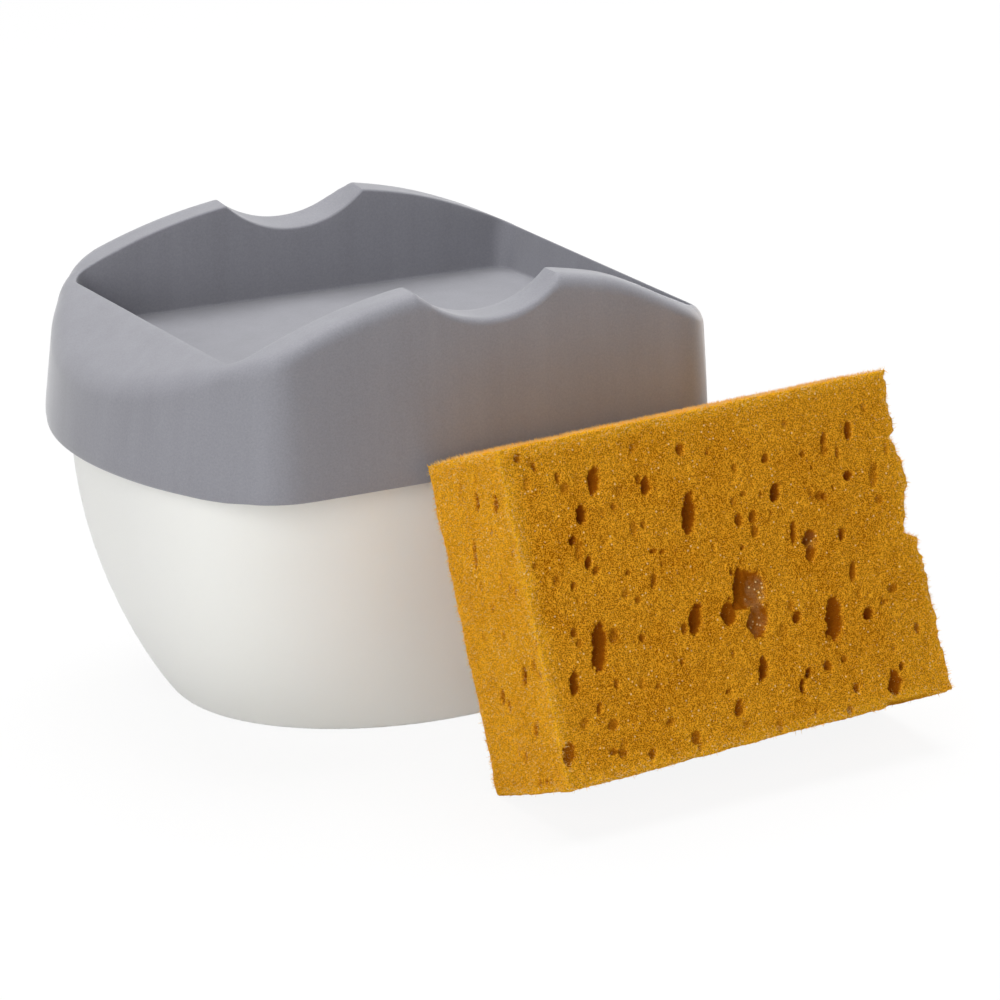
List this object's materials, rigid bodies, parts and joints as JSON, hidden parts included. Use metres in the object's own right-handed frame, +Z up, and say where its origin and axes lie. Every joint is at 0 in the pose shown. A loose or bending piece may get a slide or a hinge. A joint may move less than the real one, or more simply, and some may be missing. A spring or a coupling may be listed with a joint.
{
  "type": "soap dispenser with sponge holder",
  "caption": "Press-down dish soap dispenser: an oval tub under a grey lid with a sponge tray, finger scoops and a central outlet, with a coarse sponge leaning on it.",
  "frame": {"origin": "centre of the non-slip pad's underside, on the table", "axes": "+X along the lid, +Z up; the sponge leans on the side that faces -Y"},
  "size_m": [0.1439, 0.1496, 0.0926],
  "materials": {
    "grey_plastic": "fine matte",
    "milky_plastic": "satin",
    "white_moulding": "satin",
    "natural_plastic": "satin",
    "soft_seal": "matte",
    "clear_silicone": "satin",
    "spring_steel": "bright",
    "sponge_foam": "open foam"
  },
  "bodies": {
    "tub": {"reservoir_tub": "milky_plastic", "base_pad": "soft_seal"},
    "cover": {"reservoir_cover": "white_moulding", "cover_gasket": "soft_seal", "screw_collar": "white_moulding", "housing_gasket": "soft_seal", "pump_housing": "natural_plastic", "pump_insert": "white_moulding", "dip_tube": "natural_plastic", "return_spring": "spring_steel"},
    "lid": {"press_lid": "grey_plastic", "pump_head": "white_moulding", "outlet_nozzle": "white_moulding", "nozzle_gasket": "soft_seal", "outlet_valve": "clear_silicone", "pump_stem": "natural_plastic", "piston": "natural_plastic", "piston_seat": "natural_plastic"},
    "ball": {"inlet_ball": "spring_steel"},
    "wash_sponge": {"sponge": "sponge_foam"}
  },
  "joints": [
    {"name": "refill_lift", "type": "slide", "parent": "tub", "child": "cover", "axis": [0, 0, 1], "range_m": [0, 0.1]},
    {"name": "lid_press", "type": "slide", "parent": "cover", "child": "lid", "axis": [0, 0, 1], "range_m": [-0.009, 0], "stiffness_N_per_m": 700, "springref_m": 0.008, "deforming": ["return_spring"]},
    {"name": "inlet_ball_lift", "type": "slide", "parent": "cover", "child": "ball", "axis": [0, 0, 1], "range_m": [0, 0.0014]},
    {"name": "sponge_lift", "type": "slide", "parent": "tub", "child": "wash_sponge", "axis": [0, 0, 1], "range_m": [0, 0.12]}
  ]
}
